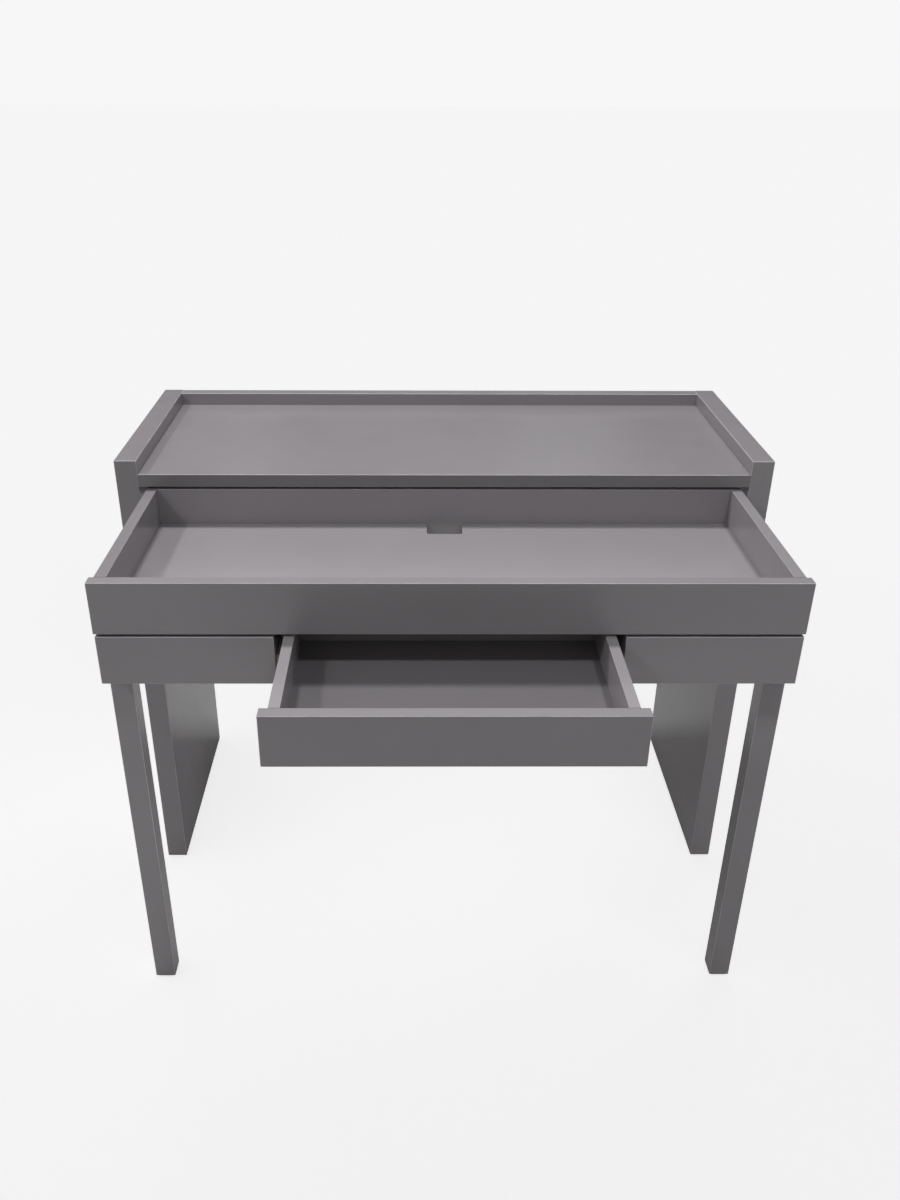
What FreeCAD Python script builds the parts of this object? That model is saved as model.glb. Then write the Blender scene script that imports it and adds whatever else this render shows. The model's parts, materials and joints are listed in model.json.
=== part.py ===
"""Console table with a pull-out writing desk and a small centre drawer, standing open.

A fixed console (two slab sides, a recessed top board and a back panel) carries a pull-out
desk on telescopic slides. The desk is a shallow tray on a low box with two square front
legs, and a small drawer runs in the middle of that box on roller runners.

Lengths are in millimetres and +Z is up. Below, x = 0 is the plane of symmetry, y = 0 is the
front plane of the console and z = 0 is the floor. Every node is moved by FOOTPRINT_SHIFT on
export, so that the part's origin is the middle of its footprint as it stands open.
"""
import FreeCAD, Part
import math
import os

Vector = FreeCAD.Vector

# --- driving dimensions: console ---
WIDTH = 1010.0
HEIGHT = 780.0
DEPTH = 378.0
SLAB = 34.0               # thickness of each side panel
RIM = 22.0                # how far the side panels stand above the top board
TOP_BOARD = 20.0
BACK_PANEL = 22.0
BACK_DROP = 0.5           # the back panel ends this far below the side panels
BACK_HEIGHT = 196.0
GLIDE = 2.5               # height of the glides under slabs and legs

# --- driving dimensions: pull-out desk ---
DESK_TRAVEL = 320.0
TRAY_FRONT_WIDTH = 934.0
TRAY_FRONT_HEIGHT = 75.0
TRAY_TOP = 733.0
FRONT = 18.0              # thickness of every visible front
TRAY_SIDE = 16.0
TRAY_INNER_LENGTH = 304.0
DESK_SURFACE_TOP = 675.0
DESK_SURFACE = 16.0
NOTCH_WIDTH = 55.0
NOTCH_DEPTH = 38.0
NOTCH_CORNER = 4.0
APRON_WIDTH = 931.0
APRON_HEIGHT = 72.0
APRON_BOTTOM = 582.0
BAY_WIDTH = 463.0         # clear width between the two aprons
FRONT_RAIL = 15.0
BOX_BOARD = 16.0          # dividers, side rails and rear rail of the low box
LEG = 31.0

# --- driving dimensions: small drawer ---
DRAWER_TRAVEL = 184.0
DRAWER_FRONT_WIDTH = 459.5
DRAWER_WIDTH = 437.0
DRAWER_SIDE = 14.0
DRAWER_INNER_LENGTH = 242.0
DRAWER_SIDE_BOTTOM = 592.0
DRAWER_FLOOR_TOP = 605.0
DRAWER_BOTTOM = 8.0
DRAWER_BACK_DROP = 6.0    # the back ends this far below the side tops

# --- hardware ---
ARRIS = 1.1               # rounding of visible edges
SOFT_EDGE = 0.5           # rounding of edges at joints
SHEET = 1.2               # steel thickness of slides and runners
SLIDE_GAP = 10.5          # between console side and tray side
SLIDE_LENGTH = 318.0
SLIDE_CENTRE = 686.0
SLIDE_SETBACK = 1.0       # from the back of the desk front to a closed slide
SLIDE_SCREW_LENGTH = 13.0
SLIDE_SCREW_PITCH = 120.0
# slide sections: near and far face from the tray side, half height
OUTER_SECTION = (3.3, SLIDE_GAP, 17.5)
MIDDLE_SECTION = (1.9, 8.1, 13.3)
INNER_SECTION = (0.0, 5.8, 9.1)
# ball rows: offset from the tray side, height off the slide's middle, y of the first ball
OUTER_ROWS = (6.0, 14.8, 36.0)
INNER_ROWS = (4.2, 10.6, -119.0)
BALL_RADIUS = 1.4
BALL_CLEARANCE = 0.1
BALLS_PER_ROW = 8
BALL_PITCH = 11.0
CAGE = 1.0                # thickness of a ball cage
CAGE_WIDTH = 4.6
ROLLER_RADIUS = 9.9
ROLLER_WIDTH = 8.6
RUNNER_LENGTH = 250.0
RUNNER_BASE = 590.8       # underside of the steel runners
TRACK_HEIGHT = 612.0      # underside of the track that rides on the front rollers
DOWEL_RADIUS = 4.0
DOWEL_LENGTH = 30.0
DOWEL_PLAY = 0.1
CARCASS_DOWEL_Y = (50.0, 180.0, 310.0)
BACK_DOWEL_DROP = (60.0, 170.0)
CAM_RADIUS = 7.5
CAM_DEPTH = 12.5
CAM_OFFSET = 34.0         # cam centre from the end of its board
CAM_BOLT_RADIUS = 3.0
CAM_Y = (100.0, 250.0)
CAM_DROP = 120.0          # cam of the back panel below the top
SCREW_RADIUS = 1.9
SCREW_HEAD_RADIUS = 3.6
LEG_BOLT_HEAD = 6.5
LEG_BOLT_RADIUS = 3.0
LEG_BOLT_LENGTH = 39.0
LEG_BOLT_RISE = (20.0, 54.0)     # above the apron's lower edge
AXLE_RADIUS = 2.5
AXLE_HEAD_RADIUS = 3.4

# --- derived places ---
INNER = WIDTH / 2 - SLAB                       # inner face of a side panel
TOP_FACE = HEIGHT - RIM
BOARD_UNDER = TOP_FACE - TOP_BOARD
BACK_FACE = DEPTH - BACK_PANEL
TRAY_OUTER = INNER - SLIDE_GAP
TRAY_INNER = TRAY_OUTER - TRAY_SIDE
TRAY_BOTTOM = TRAY_TOP - TRAY_FRONT_HEIGHT
DESK_FRONT_Y = -DESK_TRAVEL
TRAY_START = DESK_FRONT_Y + FRONT
TRAY_END = TRAY_START + TRAY_INNER_LENGTH
DESK_REAR = TRAY_END + TRAY_SIDE
SURFACE_UNDER = DESK_SURFACE_TOP - DESK_SURFACE
APRON_TOP = APRON_BOTTOM + APRON_HEIGHT
BAY = BAY_WIDTH / 2
BOX_OUTER = APRON_WIDTH / 2
BOX_BOTTOM = APRON_BOTTOM + 4.0
RAIL_REAR = TRAY_START + FRONT_RAIL
DIVIDER_OUTER = BAY + BOX_BOARD
LEG_REAR = RAIL_REAR + LEG
LEG_INNER = BOX_OUTER - LEG
DRAWER_FRONT_Y = DESK_FRONT_Y - DRAWER_TRAVEL
DRAWER_START = DRAWER_FRONT_Y + FRONT
DRAWER_BACK_Y = DRAWER_START + DRAWER_INNER_LENGTH
DRAWER_END = DRAWER_BACK_Y + DRAWER_SIDE
DRAWER_OUTER = DRAWER_WIDTH / 2
DRAWER_INNER = DRAWER_OUTER - DRAWER_SIDE
RUNNER_START = TRAY_START + 2.0
ROLLER_Z = TRACK_HEIGHT - ROLLER_RADIUS - BALL_CLEARANCE
FRONT_ROLLER_Y = RUNNER_START + ROLLER_RADIUS + 2.0
REAR_ROLLER_Y = DRAWER_START + RUNNER_LENGTH - ROLLER_RADIUS - 2.0
FOOTPRINT_SHIFT = -(DRAWER_FRONT_Y + DEPTH) / 2

SIDES = (("left", -1), ("right", 1))


# --- building blocks ---
def block(x, y, z):
    """Box from three (low, high) pairs given in either order."""
    low = Vector(min(x), min(y), min(z))
    return Part.makeBox(max(x) - low.x, max(y) - low.y, max(z) - low.z, low)


def rounded(shape, radius, chosen=None):
    """Round every edge, or only the edges whose middle and direction are chosen."""
    edges = []
    for edge in shape.Edges:
        middle = edge.CenterOfMass
        direction = edge.tangentAt(edge.FirstParameter)
        if chosen is None or chosen(middle, direction):
            edges.append(edge)
    return shape.makeFillet(radius, edges)


def board(x, y, z, radius=SOFT_EDGE):
    return rounded(block(x, y, z), radius)


def rod(start, axis, radius, length):
    return Part.makeCylinder(radius, length, Vector(*start), Vector(*axis))


def drilled(shape, rods):
    """Cut a list of rods out of a board, one after the other."""
    for tool in rods:
        shape = shape.cut(tool)
    return shape


def pins(places, radius, length, play=0.0):
    """Rods along an axis, each centred on its place; play widens and lengthens them."""
    made = []
    for place, axis in places:
        half = length / 2 + play * 5
        start = [place[i] - axis[i] * half for i in range(3)]
        made.append(rod(start, axis, radius + play, 2 * half))
    return made


def cross_recess(place, axis, length, width, depth):
    """Two crossed slots in the face at place; axis is that face's normal."""
    across = [i for i in range(3) if not axis[i]]
    slots = []
    for long_way, short_way in (across, across[::-1]):
        half = [depth, depth, depth]
        half[long_way] = length / 2
        half[short_way] = width / 2
        low = [place[i] - half[i] for i in range(3)]
        slots.append(Part.makeBox(2 * half[0], 2 * half[1], 2 * half[2], Vector(*low)))
    return slots


def screw(under_head, axis, length, head=1.0):
    """Wafer-head screw with a cross recess; axis points to its tip."""
    back = [under_head[i] - axis[i] * head for i in range(3)]
    shank = rod(under_head, axis, SCREW_RADIUS, length)
    disc = rod(back, axis, SCREW_HEAD_RADIUS, head)
    blank = shank.fuse(disc).removeSplitter()
    return drilled(blank, cross_recess(back, axis, 3.6, 0.8, head * 0.6))


def channel(side, near, far, half_height, y, web_near):
    """C-section of steel sheet between two offsets from the tray side."""
    face = side * TRAY_OUTER
    body = block((face + side * near, face + side * far), y,
                 (SLIDE_CENTRE - half_height, SLIDE_CENTRE + half_height))
    inner_near = near + SHEET if web_near else near - 1
    inner_far = far + 1 if web_near else far - SHEET
    clear = half_height - SHEET
    inner = block((face + side * inner_near, face + side * inner_far),
                  (min(y) - 1, max(y) + 1), (SLIDE_CENTRE - clear, SLIDE_CENTRE + clear))
    return body.cut(inner)


def export(name, solids):
    """Write one node: one solid, or a group of separate solids."""
    group = solids if isinstance(solids, list) else [solids]
    shape = group[0] if len(group) == 1 else Part.makeCompound(group)
    shape = shape.copy()
    shape.translate(Vector(0, FOOTPRINT_SHIFT, 0))
    shape.exportStep(os.path.join("parts", name + ".step"))
    print("%-28s solids %3d  valid %s" % (name, len(shape.Solids), shape.isValid()))


# --- console ---
def carcass_dowel_places():
    """Wooden dowels across the joints between the side panels and the two cross boards."""
    places = []
    for _, side in SIDES:
        for y in CARCASS_DOWEL_Y:
            places.append(((side * INNER, y, BOARD_UNDER + TOP_BOARD / 2), (side, 0, 0)))
        for drop in BACK_DOWEL_DROP:
            place = (side * INNER, BACK_FACE + BACK_PANEL / 2, HEIGHT - drop)
            places.append((place, (side, 0, 0)))
    return places


def cam_places():
    """Cam locks: (centre of the cam's open face, drilling direction, side)."""
    places = []
    for _, side in SIDES:
        for y in CAM_Y:
            places.append(((side * (INNER - CAM_OFFSET), y, BOARD_UNDER), (0, 0, 1), side))
        place = (side * (INNER - CAM_OFFSET), BACK_FACE, HEIGHT - CAM_DROP)
        places.append((place, (0, 1, 0), side))
    return places


def cam_bolt(place, drill, side, play=0.0):
    """Bolt from the side panel to the cam, halfway into the thickness of its board."""
    middle = [place[i] + drill[i] * (TOP_BOARD / 2) for i in range(3)]
    reach = CAM_OFFSET - CAM_RADIUS + 2.0
    start = (side * (INNER - reach), middle[1], middle[2])
    return rod(start, (side, 0, 0), CAM_BOLT_RADIUS + play, reach + 11.0 + play * 5)


def side_panel(side):
    panel = board((side * INNER, side * WIDTH / 2), (0, DEPTH), (GLIDE, HEIGHT), ARRIS)
    holes = pins(carcass_dowel_places(), DOWEL_RADIUS, DOWEL_LENGTH, DOWEL_PLAY)
    holes += [cam_bolt(*place, play=DOWEL_PLAY) for place in cam_places()]
    holes += slide_screws(side, outer=True)
    return drilled(panel, holes)


def top_board():
    def front_edges(middle, direction):
        return middle.y < 1.0 and abs(direction.x) > 0.5

    plank = block((-INNER, INNER), (0, BACK_FACE), (BOARD_UNDER, TOP_FACE))
    plank = rounded(plank, ARRIS, front_edges)
    holes = pins(carcass_dowel_places(), DOWEL_RADIUS, DOWEL_LENGTH, DOWEL_PLAY)
    return drilled(plank, holes + cam_holes())


def back_panel():
    top = HEIGHT - BACK_DROP

    def top_edges(middle, direction):
        return middle.z > top - 1.0 and abs(direction.x) > 0.5

    panel = block((-INNER, INNER), (BACK_FACE, DEPTH), (top - BACK_HEIGHT, top))
    panel = rounded(panel, ARRIS, top_edges)
    holes = pins(carcass_dowel_places(), DOWEL_RADIUS, DOWEL_LENGTH, DOWEL_PLAY)
    return drilled(panel, holes + cam_holes())


def cam_holes():
    holes = []
    for place, drill, side in cam_places():
        start = [place[i] - drill[i] for i in range(3)]
        holes.append(rod(start, drill, CAM_RADIUS + DOWEL_PLAY, CAM_DEPTH + 1.5))
        holes.append(cam_bolt(place, drill, side, DOWEL_PLAY))
    return holes


def cam_disc(place, drill, side):
    """Cam with the slot that its bolt's head sits in and a cross recess in its face."""
    cam = rod(place, drill, CAM_RADIUS, CAM_DEPTH)
    cam = cam.cut(cam_bolt(place, drill, side, 0.3))
    return drilled(cam, cross_recess(place, drill, 8.0, 1.6, 1.0))


def glide(x, y, length_x, length_y):
    pad = block((x - length_x / 2, x + length_x / 2), (y - length_y / 2, y + length_y / 2),
                (0, GLIDE))
    return rounded(pad, 3.0, lambda middle, direction: abs(direction.z) > 0.5)


# --- telescopic slides of the desk ---
def slide_screws(side, outer):
    """Screws of one slide, into the console side (outer) or into the tray side."""
    made = []
    face = TRAY_OUTER + (SLIDE_GAP - SHEET if outer else SHEET)
    first = 45.0 if outer else TRAY_START + 26.0
    for step in range(3):
        place = (side * face, first + step * SLIDE_SCREW_PITCH, SLIDE_CENTRE)
        direction = (side if outer else -side, 0, 0)
        made.append(screw(place, direction, SLIDE_SCREW_LENGTH))
    return made


def slide_member(side, kind):
    """One of the three nested steel sections, as it stands with the desk pulled out."""
    section, share = {
        "outer": (OUTER_SECTION, 0.0),
        "middle": (MIDDLE_SECTION, 0.5),
        "inner": (INNER_SECTION, 1.0),
    }[kind]
    start = FRONT + SLIDE_SETBACK - share * DESK_TRAVEL
    member = channel(side, *section, (start, start + SLIDE_LENGTH), kind == "inner")
    if kind == "middle":
        return member
    return drilled(member, slide_screws(side, kind == "outer"))


def ball_places(side, level):
    """Ball centres of one slide: the outer rows or the inner rows."""
    offset, height, start = OUTER_ROWS if level == "outer" else INNER_ROWS
    places = []
    for row in (-1, 1):
        for step in range(BALLS_PER_ROW):
            y = start + step * BALL_PITCH
            places.append((side * (TRAY_OUTER + offset), y, SLIDE_CENTRE + row * height))
    return places


def balls(level):
    made = []
    for _, side in SIDES:
        for place in ball_places(side, level):
            made.append(Part.makeSphere(BALL_RADIUS, Vector(*place)))
    return made


def ball_cages(level):
    """Thin strips, one per row of balls, with a round hole for each ball."""
    made = []
    for _, side in SIDES:
        places = ball_places(side, level)
        for row in (places[:BALLS_PER_ROW], places[BALLS_PER_ROW:]):
            x, y, z = row[0]
            strip = block((x - CAGE_WIDTH / 2, x + CAGE_WIDTH / 2),
                          (y - 6.0, row[-1][1] + 6.0), (z - CAGE / 2, z + CAGE / 2))
            made.append(drilled(strip, [rod((p[0], p[1], p[2] - CAGE), (0, 0, 1),
                                            BALL_RADIUS + BALL_CLEARANCE, 2 * CAGE)
                                        for p in row]))
    return made


# --- pull-out desk: tray ---
def tray_dowel_places():
    """Dowels that hold the tray's front, sides, back and writing surface together."""
    places = []
    side_middle = TRAY_OUTER - TRAY_SIDE / 2
    for _, side in SIDES:
        for z in (TRAY_BOTTOM + 12.0, TRAY_BOTTOM + 42.0):
            places.append(((side * side_middle, TRAY_START, z), (0, 1, 0)))
            places.append(((side * TRAY_INNER, TRAY_END + TRAY_SIDE / 2, z), (side, 0, 0)))
    middle = SURFACE_UNDER + DESK_SURFACE / 2
    for x in (-330.0, -110.0, 110.0, 330.0):
        places.append(((x, TRAY_START, middle), (0, 1, 0)))
    return places


def tray_holes():
    return pins(tray_dowel_places(), DOWEL_RADIUS, DOWEL_LENGTH - 6.0, DOWEL_PLAY)


def tray_front():
    panel = board((-TRAY_FRONT_WIDTH / 2, TRAY_FRONT_WIDTH / 2), (DESK_FRONT_Y, TRAY_START),
                  (TRAY_BOTTOM, TRAY_TOP), ARRIS)
    return drilled(panel, tray_holes())


def tray_side(side):
    def top_edges(middle, direction):
        return middle.z > TRAY_TOP - 1.0 and abs(direction.y) > 0.5

    panel = block((side * TRAY_INNER, side * TRAY_OUTER), (TRAY_START, DESK_REAR),
                  (TRAY_BOTTOM, TRAY_TOP))
    panel = rounded(panel, SOFT_EDGE, top_edges)
    return drilled(panel, tray_holes() + slide_screws(side, outer=False))


def tray_back():
    def top_edges(middle, direction):
        return middle.z > TRAY_TOP - 1.0 and abs(direction.x) > 0.5

    panel = block((-TRAY_INNER, TRAY_INNER), (TRAY_END, DESK_REAR), (TRAY_BOTTOM, TRAY_TOP))
    return drilled(rounded(panel, SOFT_EDGE, top_edges), tray_holes())


def desk_surface():
    """Writing surface with a notch at the back for cables."""
    plank = block((-TRAY_INNER, TRAY_INNER), (TRAY_START, TRAY_END),
                  (SURFACE_UNDER, DESK_SURFACE_TOP))
    notch = block((-NOTCH_WIDTH / 2, NOTCH_WIDTH / 2),
                  (TRAY_END - NOTCH_DEPTH, TRAY_END + NOTCH_DEPTH),
                  (SURFACE_UNDER - 1, DESK_SURFACE_TOP + 1))
    notch = rounded(notch, NOTCH_CORNER, lambda middle, direction: abs(direction.z) > 0.5)
    holes = tray_holes() + pins(box_dowel_places(), DOWEL_RADIUS, 20.0, DOWEL_PLAY)
    return drilled(plank.cut(notch), holes)


# --- pull-out desk: low box, legs and aprons ---
def box_dowel_places():
    """Upright dowels from the rails and dividers into the underside of the surface."""
    places = []
    for _, side in SIDES:
        for y in (-250.0, -60.0):
            places.append(((side * (BAY + BOX_BOARD / 2), y, SURFACE_UNDER), (0, 0, 1)))
        places.append(((side * 340.0, TRAY_START + FRONT_RAIL / 2, SURFACE_UNDER), (0, 0, 1)))
    return places


def box_holes():
    return pins(box_dowel_places(), DOWEL_RADIUS, 20.0, DOWEL_PLAY)


def apron(side):
    panel = board((side * BAY, side * BOX_OUTER), (DESK_FRONT_Y, TRAY_START),
                  (APRON_BOTTOM, APRON_TOP), ARRIS)
    return drilled(panel, apron_screws(side))


def apron_screws(side):
    """Screws through the front rail into the back of an apron."""
    made = []
    for x in (275.0, 325.0, 375.0):
        made.append(screw((side * x, RAIL_REAR, APRON_BOTTOM + 36.0), (0, -1, 0), 27.0))
    return made


def front_rail(side):
    rail = block((side * DIVIDER_OUTER, side * BOX_OUTER), (TRAY_START, RAIL_REAR),
                 (BOX_BOTTOM, SURFACE_UNDER))
    rail = rail.cut(block((side * (TRAY_INNER - 0.2), side * (BOX_OUTER + 1)),
                          (TRAY_START - 1, RAIL_REAR + 1), (TRAY_BOTTOM, SURFACE_UNDER + 1)))
    return drilled(rail, box_holes() + apron_screws(side) + leg_bolt_holes(side))


def leg_bolt_holes(side):
    """Two counterbored holes from the front of the rail into the leg."""
    holes = []
    for rise in LEG_BOLT_RISE:
        start = (side * (BOX_OUTER - LEG / 2), TRAY_START, APRON_BOTTOM + rise)
        head = rod(start, (0, 1, 0), LEG_BOLT_HEAD, 5.0)
        holes.append(rod(start, (0, 1, 0), LEG_BOLT_RADIUS, LEG_BOLT_LENGTH).fuse(head))
    return holes


def leg_bolts(side):
    """Leg bolts with a round socket in their heads, hidden behind the apron."""
    made = []
    for shank in leg_bolt_holes(side):
        x = side * (BOX_OUTER - LEG / 2)
        z = shank.BoundBox.Center.z
        made.append(shank.cut(rod((x, TRAY_START - 1.0, z), (0, 1, 0), 2.5, 4.0)))
    return made


def leg(side):
    post = board((side * LEG_INNER, side * BOX_OUTER), (RAIL_REAR, LEG_REAR),
                 (GLIDE, TRAY_BOTTOM), ARRIS)
    return drilled(post, leg_bolt_holes(side))


def corner_block(side):
    """Three-sided wooden block in the corner between a leg and its front rail."""
    corner = Vector(side * LEG_INNER, RAIL_REAR, BOX_BOTTOM + 4.0)
    path = [corner, corner + Vector(-side * LEG, 0, 0), corner + Vector(0, LEG, 0), corner]
    return Part.Face(Part.makePolygon(path)).extrude(Vector(0, 0, 60.0))


def side_rail(side):
    return block((side * (BOX_OUTER - BOX_BOARD), side * BOX_OUTER), (LEG_REAR, TRAY_END),
                 (BOX_BOTTOM, TRAY_BOTTOM))


def rear_rail():
    return board((-BOX_OUTER, BOX_OUTER), (TRAY_END, DESK_REAR), (BOX_BOTTOM, TRAY_BOTTOM))


def divider(side):
    panel = block((side * BAY, side * DIVIDER_OUTER), (TRAY_START, TRAY_END),
                  (BOX_BOTTOM, SURFACE_UNDER))
    return drilled(panel, box_holes() + runner_screws(side))


# --- roller runners of the drawer ---
def runner_screws(side):
    """Screws of the fixed runner, into its divider."""
    made = []
    for step in range(3):
        place = (side * (BAY - SHEET), RUNNER_START + 45.0 + step * 80.0, TRACK_HEIGHT - 10.0)
        made.append(screw(place, (side, 0, 0), 12.0, head=0.6))
    return made


def drawer_runner_screws(side):
    """Upright screws of the moving runner, into the underside of the drawer side."""
    made = []
    for step in range(3):
        place = (side * (DRAWER_OUTER - DRAWER_SIDE / 2), DRAWER_START + 30.0 + step * 90.0,
                 RUNNER_BASE)
        made.append(screw(place, (0, 0, 1), 4.5 + SHEET, head=0.8))
    return made


def fixed_runner(side):
    """Channel on the divider; the drawer's rear roller runs on its lower flange."""
    web = side * BAY
    y = (RUNNER_START, RUNNER_START + RUNNER_LENGTH)
    top = TRACK_HEIGHT + 3.4
    shape = block((web, web - side * SHEET), y, (RUNNER_BASE, top))
    shape = shape.fuse(block((web, web - side * 10.8), y, (RUNNER_BASE, RUNNER_BASE + SHEET)))
    shape = shape.fuse(block((web, web - side * 8.5), y, (top - SHEET, top)))
    holes = runner_screws(side) + roller_axle(side, "front")
    return drilled(shape.removeSplitter(), holes)


def moving_runner(side):
    """Angle under the drawer side, with a track that rides on the front roller."""
    face = side * DRAWER_OUTER
    y = (DRAWER_START, DRAWER_START + RUNNER_LENGTH)
    shape = block((face, face + side * SHEET), y, (RUNNER_BASE, TRACK_HEIGHT + SHEET))
    shape = shape.fuse(block((face + side * SHEET, face - side * 12.0), y,
                             (RUNNER_BASE, RUNNER_BASE + SHEET)))
    shape = shape.fuse(block((face, face + side * 10.5), y,
                             (TRACK_HEIGHT, TRACK_HEIGHT + SHEET)))
    holes = drawer_runner_screws(side) + roller_axle(side, "rear")
    return drilled(shape.removeSplitter(), holes)


def roller_span(side):
    """The gap between drawer side and divider that the rollers fill, near face first."""
    start = DRAWER_OUTER + SHEET + 0.7
    return side * start, side * (start + ROLLER_WIDTH)


def roller_place(side, end):
    """Face of the roller beside its axle's head, the way to that face, and its y."""
    near, far = roller_span(side)
    if end == "front":
        return near, -side, FRONT_ROLLER_Y
    return far, side, REAR_ROLLER_Y


def roller(side, end):
    """Nylon wheel with a recess for the axle's head and six moulded hollows."""
    near, far = roller_span(side)
    face, out, y = roller_place(side, end)
    wheel = rod((min(near, far), y, ROLLER_Z), (1, 0, 0), ROLLER_RADIUS, ROLLER_WIDTH)
    wheel = rounded(wheel, 0.8)
    bore = rod((min(near, far) - 1, y, ROLLER_Z), (1, 0, 0), AXLE_RADIUS + 0.05,
               ROLLER_WIDTH + 2)
    recess = rod((face, y, ROLLER_Z), (-out, 0, 0), AXLE_HEAD_RADIUS + 0.2, 0.9)
    wheel = wheel.cut(bore).cut(recess)
    for turn in range(6):
        angle = math.radians(60.0 * turn)
        start = (face, y + 6.0 * math.cos(angle), ROLLER_Z + 6.0 * math.sin(angle))
        wheel = wheel.cut(rod(start, (-out, 0, 0), 1.5, 3.0))
    return wheel


def roller_axle(side, end):
    """Riveted axle through the web that carries the roller, its head in the recess."""
    face, out, y = roller_place(side, end)
    start = side * (BAY if end == "front" else DRAWER_OUTER)
    length = abs(face - start) - 0.2
    head = rod((face - out * 0.8, y, ROLLER_Z), (out, 0, 0), AXLE_HEAD_RADIUS, 0.6)
    shank = rod((start, y, ROLLER_Z), (out, 0, 0), AXLE_RADIUS, length)
    return [shank.fuse(head).removeSplitter()]


# --- small drawer ---
def drawer_dowel_places():
    places = []
    for _, side in SIDES:
        for z in (DRAWER_SIDE_BOTTOM + 24.0, DRAWER_SIDE_BOTTOM + 46.0):
            places.append(((side * (DRAWER_OUTER - DRAWER_SIDE / 2), DRAWER_START, z), (0, 1, 0)))
            places.append(((side * DRAWER_INNER, DRAWER_BACK_Y + DRAWER_SIDE / 2, z - 4.0),
                           (side, 0, 0)))
    return places


def drawer_holes():
    return pins(drawer_dowel_places(), DOWEL_RADIUS - 1.0, DOWEL_LENGTH - 10.0, DOWEL_PLAY)


def bottom_sheet(play=0.0):
    """Bottom board, let into grooves in the front and both sides."""
    groove = 5.0
    return block((-DRAWER_INNER - groove - play, DRAWER_INNER + groove + play),
                 (DRAWER_START - groove - play, DRAWER_END + play),
                 (DRAWER_FLOOR_TOP - DRAWER_BOTTOM - play, DRAWER_FLOOR_TOP + play))


def drawer_front():
    panel = board((-DRAWER_FRONT_WIDTH / 2, DRAWER_FRONT_WIDTH / 2),
                  (DRAWER_FRONT_Y, DRAWER_START), (APRON_BOTTOM, APRON_TOP), ARRIS)
    return drilled(panel, drawer_holes() + [bottom_sheet(DOWEL_PLAY)])


def drawer_side(side):
    def top_edges(middle, direction):
        return middle.z > APRON_TOP - 1.0 and abs(direction.y) > 0.5

    panel = block((side * DRAWER_INNER, side * DRAWER_OUTER), (DRAWER_START, DRAWER_END),
                  (DRAWER_SIDE_BOTTOM, APRON_TOP))
    panel = rounded(panel, SOFT_EDGE, top_edges)
    return drilled(panel, drawer_holes() + [bottom_sheet(DOWEL_PLAY)]
                   + drawer_runner_screws(side))


def drawer_back():
    panel = board((-DRAWER_INNER, DRAWER_INNER), (DRAWER_BACK_Y, DRAWER_END),
                  (DRAWER_FLOOR_TOP + DOWEL_PLAY, APRON_TOP - DRAWER_BACK_DROP))
    return drilled(panel, drawer_holes())


def build():
    os.makedirs("parts", exist_ok=True)

    # console
    for name, side in SIDES:
        export(name + "_side_panel", side_panel(side))
    export("top_board", top_board())
    export("back_panel", back_panel())
    export("side_panel_glides", [glide(side * (WIDTH - SLAB) / 2, y, SLAB - 8.0, 40.0)
                                 for _, side in SIDES for y in (30.0, DEPTH - 30.0)])
    export("carcass_dowels", pins(carcass_dowel_places(), DOWEL_RADIUS, DOWEL_LENGTH))
    export("cam_discs", [cam_disc(*place) for place in cam_places()])
    export("cam_bolts", [cam_bolt(*place) for place in cam_places()])

    # telescopic slides
    for name, side in SIDES:
        for kind in ("outer", "middle", "inner"):
            export("%s_slide_%s_member" % (name, kind), slide_member(side, kind))
    for label, outer in (("slide_console_screws", True), ("slide_desk_screws", False)):
        export(label, [tool for _, side in SIDES for tool in slide_screws(side, outer)])
    for level in ("outer", "inner"):
        export(level + "_ball_cages", ball_cages(level))
        export(level + "_balls", balls(level))

    # tray
    export("desk_front", tray_front())
    for name, side in SIDES:
        export(name + "_desk_side", tray_side(side))
    export("desk_back", tray_back())
    export("desk_surface", desk_surface())
    export("desk_dowels", pins(tray_dowel_places(), DOWEL_RADIUS, DOWEL_LENGTH - 6.0))

    # low box, aprons and legs
    for name, side in SIDES:
        export(name + "_apron", apron(side))
        export(name + "_front_rail", front_rail(side))
        export(name + "_side_rail", side_rail(side))
        export(name + "_divider", divider(side))
        export(name + "_leg", leg(side))
        export(name + "_corner_block", corner_block(side))
    export("rear_rail", rear_rail())
    export("box_dowels", pins(box_dowel_places(), DOWEL_RADIUS, 20.0))
    export("apron_screws", [tool for _, side in SIDES for tool in apron_screws(side)])
    export("leg_bolts", [tool for _, side in SIDES for tool in leg_bolts(side)])
    export("leg_glides", [glide(side * (BOX_OUTER - LEG / 2), RAIL_REAR + LEG / 2,
                                LEG - 5.0, LEG - 5.0) for _, side in SIDES])

    # drawer and its runners
    for name, side in SIDES:
        export(name + "_fixed_runner", fixed_runner(side))
        export(name + "_moving_runner", moving_runner(side))
        export(name + "_drawer_side", drawer_side(side))
    export("fixed_runner_screws", [tool for _, side in SIDES for tool in runner_screws(side)])
    export("moving_runner_screws",
           [tool for _, side in SIDES for tool in drawer_runner_screws(side)])
    for end in ("front", "rear"):
        export(end + "_rollers", [roller(side, end) for _, side in SIDES])
        export(end + "_roller_axles", [roller_axle(side, end)[0] for _, side in SIDES])
    export("drawer_front", drawer_front())
    export("drawer_back", drawer_back())
    export("drawer_bottom", bottom_sheet())
    export("drawer_dowels",
           pins(drawer_dowel_places(), DOWEL_RADIUS - 1.0, DOWEL_LENGTH - 10.0))


build()
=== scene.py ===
"""Looks of the console table with its pull-out desk and drawer."""

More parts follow.
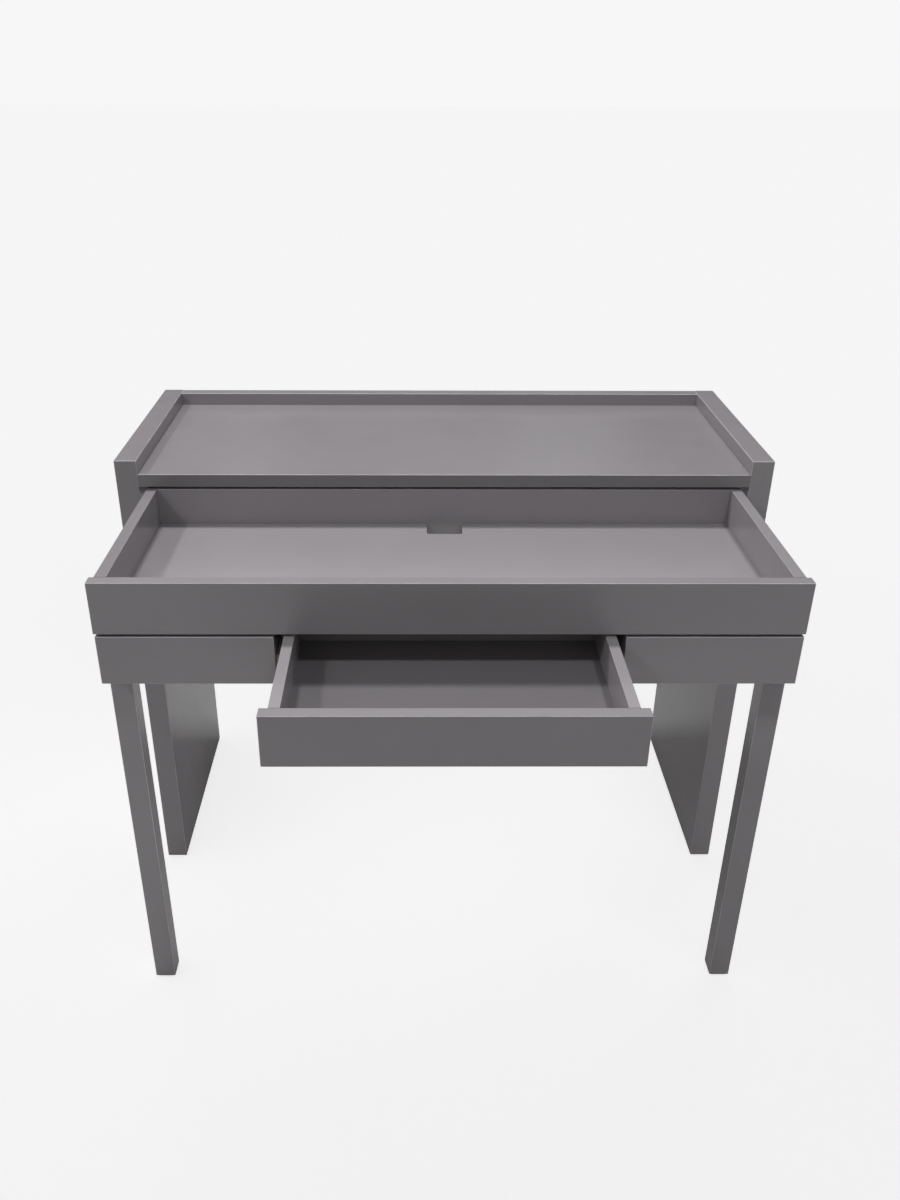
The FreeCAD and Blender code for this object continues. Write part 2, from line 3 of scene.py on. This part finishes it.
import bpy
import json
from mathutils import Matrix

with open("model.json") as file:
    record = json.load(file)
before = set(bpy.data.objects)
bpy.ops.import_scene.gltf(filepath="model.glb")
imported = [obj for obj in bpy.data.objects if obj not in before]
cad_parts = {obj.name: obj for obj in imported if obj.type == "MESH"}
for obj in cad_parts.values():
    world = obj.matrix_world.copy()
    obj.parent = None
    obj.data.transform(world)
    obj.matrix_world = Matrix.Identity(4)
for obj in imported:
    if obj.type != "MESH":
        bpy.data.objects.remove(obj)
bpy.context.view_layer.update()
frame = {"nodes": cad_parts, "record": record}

import json
import math

import bpy
from mathutils import Matrix, Vector

SCENE = bpy.context.scene
NODES = frame["nodes"]

# Lacquer, linear colours
LACQUER = (0.262, 0.247, 0.259)
LACQUER_ROUGHNESS = 0.22
INSIDE_TONE = 0.94        # boards whose slot is the inside lacquer
ARRIS_HIGHLIGHT_TONE = 2.1           # painted highlight on the arrises
TONE_SPREAD = 0.012       # from board to board

# Tones tuned on the brightness differences from the photograph, where the lamps alone leave a board
# too dark or too light. Most of this stands for light that isn't reproduced: the paint itself may
# well be one colour
BOARD_TONES = {
    "drawer_bottom": 0.70,
    "desk_surface": 1.15,
    "left_drawer_side": 1.24,
    "right_drawer_side": 1.22,
    "left_desk_side": 0.90,
    "right_desk_side": 1.10,
    "top_board": 0.96,
    "left_side_panel": 0.95,
    "right_side_panel": 1.04,
    "right_apron": 1.03,
    "left_leg": 1.06,
}

# The same for a board's front face: painted shade, darker than the lamps leave it. Why the real one looks
# darker isn't known
FRONT_SHADE_TONES = {"top_board": 0.74}

# Camera: place in metres, angles in radians, focal length in units of the picture's height
CAMERA_AT = (-0.0490, -1.4472, 1.3342)
CAMERA_YAW = 0.0082
CAMERA_PITCH = -0.4849
CAMERA_ROLL = 0.0042
CAMERA_FOCAL = 0.87166
CAMERA_SHIFT = (0.0246, 0.0012)
SENSOR = 36.0


# ---------------------------------------------------------------- camera
def make_camera():
    """The camera at the photographed viewing angle."""
    forward = Vector((
        math.sin(CAMERA_YAW) * math.cos(CAMERA_PITCH),
        math.cos(CAMERA_YAW) * math.cos(CAMERA_PITCH),
        math.sin(CAMERA_PITCH),
    ))
    level = Vector((math.cos(CAMERA_YAW), -math.sin(CAMERA_YAW), 0.0))
    upright = level.cross(forward)
    right = level * math.cos(CAMERA_ROLL) + upright * math.sin(CAMERA_ROLL)
    up = right.cross(forward)
    data = bpy.data.cameras.new("camera")
    data.sensor_width = SENSOR
    data.lens = CAMERA_FOCAL * SENSOR
    data.shift_x, data.shift_y = CAMERA_SHIFT
    camera = bpy.data.objects.new("camera", data)
    turn = Matrix((right, up, -forward)).transposed().to_4x4()
    camera.matrix_world = Matrix.Translation(CAMERA_AT) @ turn
    SCENE.collection.objects.link(camera)
    SCENE.camera = camera


# ---------------------------------------------------------------- materials
class Graph:
    """A material's node graph, with short calls for the nodes used here."""

    def __init__(self, name):
        self.material = bpy.data.materials.new(name)
        self.material.use_nodes = True
        self.tree = self.material.node_tree
        self.tree.nodes.clear()
        self.out = self.add("ShaderNodeOutputMaterial")
        self.shader = self.add("ShaderNodeBsdfPrincipled")
        self.link(self.shader.outputs[0], self.out.inputs[0])
        coordinates = self.add("ShaderNodeTexCoord")
        self.place = coordinates.outputs["Object"]
        self.normal = coordinates.outputs["Normal"]

    def add(self, kind, **values):
        node = self.tree.nodes.new(kind)
        for key, value in values.items():
            setattr(node, key, value)
        return node

    def link(self, source, target):
        self.tree.links.new(source, target)

    def stretched(self, scale, shift=(0, 0, 0)):
        """The object's own coordinates, scaled and shifted."""
        node = self.add("ShaderNodeMapping")
        node.inputs["Scale"].default_value = scale
        node.inputs["Location"].default_value = shift
        self.link(self.place, node.inputs["Vector"])
        return node.outputs[0]

    def noise(self, scale, detail=2.0, roughness=0.5, vector=None):
        node = self.add("ShaderNodeTexNoise")
        node.inputs["Scale"].default_value = scale
        node.inputs["Detail"].default_value = detail
        node.inputs["Roughness"].default_value = roughness
        self.link(vector or self.place, node.inputs["Vector"])
        return node.outputs["Fac"]

    def ranged(self, value, low, high, start=0.3, end=0.7):
        """The value, taken from start..end to low..high."""
        node = self.add("ShaderNodeMapRange")
        for key, number in (("From Min", start), ("From Max", end), ("To Min", low), ("To Max", high)):
            node.inputs[key].default_value = number
        self.link(value, node.inputs["Value"])
        return node.outputs[0]

    def mixed(self, factor, first, second):
        """A colour between two colours."""
        node = self.add("ShaderNodeMix", data_type="RGBA")
        self.link(factor, node.inputs["Factor"])
        for socket, colour in ((node.inputs[6], first), (node.inputs[7], second)):
            if isinstance(colour, tuple):
                socket.default_value = (*colour, 1.0)
            else:
                self.link(colour, socket)
        return node.outputs[2]

    def bump(self, height, distance, strength=1.0, normal=None):
        node = self.add("ShaderNodeBump")
        node.inputs["Distance"].default_value = distance
        node.inputs["Strength"].default_value = strength
        self.link(height, node.inputs["Height"])
        if normal is not None:
            self.link(normal, node.inputs["Normal"])
        return node.outputs[0]

    def times(self, first, second):
        node = self.add("ShaderNodeMath", operation="MULTIPLY")
        self.link(first, node.inputs[0])
        self.link(second, node.inputs[1])
        return node.outputs[0]

    def facing(self, axis, operation=None):
        """One component of the surface's own direction, after the operation if there is one."""
        vector = self.normal
        if operation:
            node = self.add("ShaderNodeVectorMath", operation=operation)
            self.link(vector, node.inputs[0])
            vector = node.outputs[0]
        apart = self.add("ShaderNodeSeparateXYZ")
        self.link(vector, apart.inputs[0])
        return apart.outputs[axis]

    def arris(self):
        """1 on the rounded edges between a board's faces, 0 on the faces."""
        largest = self.facing("X", "ABSOLUTE")
        for axis in "YZ":
            node = self.add("ShaderNodeMath", operation="MAXIMUM")
            self.link(largest, node.inputs[0])
            self.link(self.facing(axis, "ABSOLUTE"), node.inputs[1])
            largest = node.outputs[0]
        return self.ranged(largest, 1.0, 0.0, 0.90, 0.985)

    def set(self, **values):
        """Numbers and colours straight on the shader's sockets."""
        for key, value in values.items():
            socket = self.shader.inputs[key.replace("_", " ")]
            socket.default_value = value


def tinted(colour, factor):
    return tuple(channel * factor for channel in colour)


def lacquer(name, shift, tone, front_shade_tone):
    """Satin lacquer on board: fine orange peel, faint clouding, and a patchy painted highlight on the
    arrises.
    """
    graph = Graph(name)
    moved = graph.stretched((1, 1, 1), shift)
    cloud = graph.noise(7.0, 3.0, 0.55, moved)
    speck = graph.noise(900.0, 1.0, 0.5, moved)
    clouded = graph.mixed(
        graph.ranged(cloud, 0.0, 1.0), tinted(LACQUER, tone * 0.975), tinted(LACQUER, tone * 1.02)
    )
    colour = graph.mixed(graph.ranged(speck, 0.0, 0.10), clouded, tinted(LACQUER, tone * 1.12))
    if front_shade_tone != 1.0:
        # Painted shade on the faces turned to the front
        edge = graph.ranged(graph.facing("Y"), 1.0, 0.0, -0.98, -0.6)
        colour = graph.mixed(edge, colour, tinted(LACQUER, tone * front_shade_tone))
    # Painted highlight along the arrises, lightened in patches; the same noise also spreads the roughness
    patchiness = graph.noise(18.0, 4.0, 0.6, moved)
    arris_highlight = graph.times(graph.arris(), graph.ranged(patchiness, 0.45, 1.0))
    graph.link(graph.mixed(arris_highlight, colour, tinted(LACQUER, ARRIS_HIGHLIGHT_TONE)), graph.shader.inputs["Base Color"])
    graph.link(
        graph.ranged(patchiness, LACQUER_ROUGHNESS - 0.03, LACQUER_ROUGHNESS + 0.04),
        graph.shader.inputs["Roughness"],
    )
    wave = graph.noise(26.0, 1.0, 0.4, moved)
    peel = graph.noise(420.0, 2.0, 0.5, moved)
    swell = graph.bump(wave, 0.0004, 0.25)
    graph.link(graph.bump(peel, 0.00006, 0.45, swell), graph.shader.inputs["Normal"])
    graph.set(IOR=1.5)
    return graph.material


def plated(name, colour, roughness, grain=(600, 40, 600)):
    """Zinc-plated or polished metal, with drawn lines and blotches."""
    graph = Graph(name)
    lines = graph.noise(1.0, 3.0, 0.6, graph.stretched(grain))
    blotch = graph.noise(60.0, 3.0, 0.6)
    graph.link(
        graph.mixed(graph.ranged(blotch, 0.0, 1.0), tinted(colour, 0.86), tinted(colour, 1.06)),
        graph.shader.inputs["Base Color"],
    )
    graph.link(
        graph.ranged(lines, roughness * 0.75, roughness * 1.3), graph.shader.inputs["Roughness"]
    )
    graph.link(graph.bump(lines, 0.00002, 0.2), graph.shader.inputs["Normal"])
    graph.set(Metallic=1.0)
    return graph.material


def moulded(name, colour, roughness, scale=500.0):
    """Moulded plastic or powder coat: fine pebbled skin."""
    graph = Graph(name)
    pebble = graph.noise(scale, 2.0, 0.5)
    blotch = graph.noise(45.0, 3.0, 0.5)
    graph.link(
        graph.mixed(graph.ranged(blotch, 0.0, 1.0), tinted(colour, 0.94), tinted(colour, 1.05)),
        graph.shader.inputs["Base Color"],
    )
    graph.link(
        graph.ranged(pebble, roughness - 0.06, roughness + 0.08), graph.shader.inputs["Roughness"]
    )
    graph.link(graph.bump(pebble, 0.0001, 0.5), graph.shader.inputs["Normal"])
    return graph.material


def beech(name):
    """Plain beech: long grain with short dark flecks."""
    graph = Graph(name)
    grain = graph.noise(1.0, 4.0, 0.6, graph.stretched((90, 90, 9)))
    fleck = graph.noise(1.0, 1.0, 0.5, graph.stretched((1500, 1500, 220)))
    wood = graph.mixed(graph.ranged(grain, 0.0, 1.0), (0.55, 0.37, 0.22), (0.68, 0.50, 0.33))
    graph.link(
        graph.mixed(graph.ranged(fleck, 0.0, 0.5, 0.58, 0.7), wood, (0.33, 0.19, 0.10)),
        graph.shader.inputs["Base Color"],
    )
    graph.link(graph.ranged(grain, 0.5, 0.66), graph.shader.inputs["Roughness"])
    graph.link(graph.bump(grain, 0.0002, 0.4), graph.shader.inputs["Normal"])
    return graph.material


def paint_frame():
    """Every CAD node gets the material of its slot; each lacquered board has its own variation."""
    shared = {
        "beech": beech("beech"),
        "glide_plastic": moulded("glide_plastic", (0.035, 0.034, 0.034), 0.55),
        "runner_enamel": moulded("runner_enamel", (0.70, 0.685, 0.65), 0.38, 700.0),
        "nylon": moulded("nylon", (0.74, 0.73, 0.67), 0.42, 300.0),
        "slide_steel": plated("slide_steel", (0.66, 0.67, 0.69), 0.30),
        "cage_plastic": moulded("cage_plastic", (0.03, 0.03, 0.032), 0.45),
        "ball_steel": plated("ball_steel", (0.74, 0.74, 0.75), 0.12, (300, 300, 300)),
        "cam_zinc": plated("cam_zinc", (0.60, 0.60, 0.62), 0.42, (200, 200, 200)),
        "screw_steel": plated("screw_steel", (0.66, 0.66, 0.66), 0.28, (400, 400, 400)),
    }
    slots = {part["node"]: part["material_slot"] for part in frame["record"]["subparts"]}
    for number, name in enumerate(sorted(NODES)):
        slot = slots[name]
        if slot in shared:
            material = shared[slot]
        else:
            shift = (number * 1.37, number * 2.11, number * 0.73)
            tone = 1.0 + TONE_SPREAD * math.sin(number * 2.4)
            if slot == "grey_lacquer_inside":
                tone *= INSIDE_TONE
            tone *= BOARD_TONES.get(name, 1.0)
            material = lacquer("lacquer_" + name, shift, tone, FRONT_SHADE_TONES.get(name, 1.0))
        node = NODES[name]
        node.data.materials.clear()
        node.data.materials.append(material)


# ---------------------------------------------------------------- floor and light
FLOOR_SIZE = 60.0
FLOOR_GLOW = 0.742        # the seen floor's own light, which keeps its shadows pale
FLOOR_PAINT = 0.80
BOUNCE_FLOOR = 0.66       # albedo of the floor that the object takes its bounce from
BACKDROP = 0.93

# Ceiling lamps in two rows: name, place in metres, watts. The rows and the far left lamp are where
# the shadow edges in the tray and the drawer ask for them. The other places and the strengths began
# as a least-squares fit to the photograph's brightness and were then rounded
CEILING = 2.6
BACK_ROW = 0.35
FRONT_ROW = -1.08
STRONG = 18.0
WEAK = 11.0
LAMP_DIAMETER = 0.25
LAMPS = (
    ("lamp_near_left", (-0.60, BACK_ROW, CEILING), STRONG),
    ("lamp_near_right", (0.60, BACK_ROW, CEILING), WEAK),
    ("lamp_left", (-1.80, BACK_ROW, CEILING), WEAK),
    ("lamp_front_left", (-1.80, FRONT_ROW, CEILING), STRONG),
    ("lamp_front_right", (0.60, FRONT_ROW, CEILING), WEAK),
)

# Low soft lamps for the right side and the back, which the ceiling lamps leave dark: name, place,
# the point they face, watts, diameter
FILLS = (
    ("fill_right", (2.60, -0.50, 0.45), (0.50, 0.00, 0.40), 12.0, 0.9),
    ("fill_back", (0.00, 3.00, 0.80), (0.00, 0.43, 0.50), 20.0, 1.2),
)

# The room as the object sees it, rounded from the same fit. In degrees round from the
# back (right is positive) and above the horizon: start, end, lowest, highest, softness, radiance
ROOM = (
    (-50.0, 50.0, 32.0, 45.0, 3.0, 1.3),      # wall behind, upper part
    (-50.0, 50.0, 24.0, 33.0, 3.0, 0.6),      # wall behind, lower part
    (130.0, 230.0, 20.0, 45.0, 6.0, 0.75),    # in front, upper part
    (130.0, 230.0, 2.0, 20.0, 6.0, 0.2),      # in front, lower part
    (-130.0, -50.0, 20.0, 45.0, 8.0, 1.0),    # left wall
    (-11.0, -7.8, 17.8, 27.0, 0.8, 0.45),     # bright panel behind, left
    (-2.0, 5.0, 18.0, 27.0, 2.0, 0.15),       # dim panel behind, middle
    (5.5, 11.7, 17.6, 27.0, 0.7, 0.6),        # bright panel behind, right
)

# What gloss alone sees besides: overhead all round, and on the right
SHEEN = (
    (-200.0, 200.0, 50.0, 110.0, 14.0, 2.4),
    (50.0, 130.0, 0.0, 48.0, 8.0, 0.55),
)


def make_floor(name, height, paint, glow=0.0):
    half = FLOOR_SIZE / 2
    mesh = bpy.data.meshes.new(name)
    corners = [(-half, -half, height), (half, -half, height), (half, half, height), (-half, half, height)]
    mesh.from_pydata(corners, [], [(0, 1, 2, 3)])
    floor = bpy.data.objects.new(name, mesh)
    SCENE.collection.objects.link(floor)
    graph = Graph(name)
    graph.set(
        Base_Color=(paint, paint, paint, 1.0), Roughness=0.9, Specular_IOR_Level=0.0,
        Emission_Color=(1.0, 1.0, 1.0, 1.0), Emission_Strength=glow,
    )
    mesh.materials.append(graph.material)
    return floor


def make_floors():
    """A pale floor for the eye, and just under it the darker one that the object's bounce comes from."""
    seen = make_floor("floor", -0.0005, FLOOR_PAINT, FLOOR_GLOW)
    seen.visible_diffuse = False
    seen.visible_glossy = False
    seen.visible_shadow = False
    bounce = make_floor("floor_bounce", -0.001, BOUNCE_FLOOR)
    bounce.visible_camera = False
    return seen


def make_lamp(name, place, watts, diameter, unlit, target=None):
    data = bpy.data.lights.new(name, "AREA")
    data.shape = "DISK"
    data.size = diameter
    data.energy = watts
    lamp = bpy.data.objects.new(name, data)
    lamp.location = place
    if target:
        lamp.rotation_euler = (Vector(target) - Vector(place)).to_track_quat("-Z", "Y").to_euler()
    lamp.light_linking.receiver_collection = unlit
    lamp.visible_camera = False
    lamp.visible_glossy = False
    SCENE.collection.objects.link(lamp)


def make_lamps(seen_floor):
    """Disc lamps; the seen floor takes only the room's soft light, so it stays plain.

    They don't mirror in the lacquer: the sheen patches of the room stand for them there.
    """
    unlit = bpy.data.collections.new("unlit_by_lamps")
    unlit.objects.link(seen_floor)
    unlit.collection_objects[0].light_linking.link_state = "EXCLUDE"
    for name, place, watts in LAMPS:
        make_lamp(name, place, watts, LAMP_DIAMETER, unlit)
    for name, place, target, watts, diameter in FILLS:
        make_lamp(name, place, watts, diameter, unlit, target)


class Sky:
    """The world's node graph: soft-edged patches of light by direction."""

    def __init__(self):
        world = bpy.data.worlds.new("studio")
        world.use_nodes = True
        self.tree = world.node_tree
        self.tree.nodes.clear()
        place = self.tree.nodes.new("ShaderNodeTexCoord").outputs["Generated"]
        apart = self.tree.nodes.new("ShaderNodeSeparateXYZ")
        self.tree.links.new(place, apart.inputs[0])
        x, y, z = apart.outputs
        self.round = self.maths("MULTIPLY", self.maths("ARCTAN2", x, y), math.degrees(1.0))
        self.full_round = self.maths("WRAP", self.round, 360.0, 0.0)
        self.above = self.maths("MULTIPLY", self.maths("ARCSINE", z), math.degrees(1.0))
        self.light_path = self.tree.nodes.new("ShaderNodeLightPath")
        self.glossy = self.light_path.outputs["Is Glossy Ray"]
        SCENE.world = world

    def maths(self, operation, *values):
        node = self.tree.nodes.new("ShaderNodeMath")
        node.operation = operation
        for socket, value in zip(node.inputs, values):
            if isinstance(value, (int, float)):
                socket.default_value = value
            else:
                self.tree.links.new(value, socket)
        return node.outputs[0]

    def step(self, value, start, end):
        """Smooth rise from 0 at start to 1 at end."""
        node = self.tree.nodes.new("ShaderNodeMapRange")
        node.interpolation_type = "SMOOTHSTEP"
        node.inputs["From Min"].default_value = start
        node.inputs["From Max"].default_value = end
        self.tree.links.new(value, node.inputs["Value"])
        return node.outputs[0]

    def patch(self, start, end, low, high, soft, radiance):
        """A soft-edged patch; one across the front is measured from 0 to 360 instead of -180 to 180."""
        edges = [
            self.step(self.above, low - soft / 2, low + soft / 2),
            self.step(self.above, high + soft / 2, high - soft / 2),
        ]
        turn = self.full_round if start > 0.0 and end > 180.0 else self.round
        edges.append(self.step(turn, start - soft / 2, start + soft / 2))
        edges.append(self.step(turn, end + soft / 2, end - soft / 2))
        light = radiance
        for edge in edges:
            light = self.maths("MULTIPLY", edge, light)
        return light

    def finish(self, patches):
        """The sum of the patches lights the object, and the camera sees a plain backdrop."""
        nodes = self.tree.nodes
        total = self.maths("ADD", patches[0], patches[1])
        for patch in patches[2:]:
            total = self.maths("ADD", total, patch)
        room = nodes.new("ShaderNodeBackground")
        self.tree.links.new(total, room.inputs["Strength"])
        backdrop = nodes.new("ShaderNodeBackground")
        backdrop.inputs["Color"].default_value = (BACKDROP, BACKDROP, BACKDROP, 1.0)
        mix = nodes.new("ShaderNodeMixShader")
        self.tree.links.new(self.light_path.outputs["Is Camera Ray"], mix.inputs[0])
        self.tree.links.new(room.outputs[0], mix.inputs[1])
        self.tree.links.new(backdrop.outputs[0], mix.inputs[2])
        self.tree.links.new(mix.outputs[0], nodes.new("ShaderNodeOutputWorld").inputs[0])


def make_world():
    sky = Sky()
    room = [sky.patch(*values) for values in ROOM]
    sheen = [sky.maths("MULTIPLY", sky.patch(*values), sky.glossy) for values in SHEEN]
    sky.finish(room + sheen)


make_camera()
paint_frame()
make_lamps(make_floors())
make_world()
SCENE.view_settings.view_transform = "Standard"
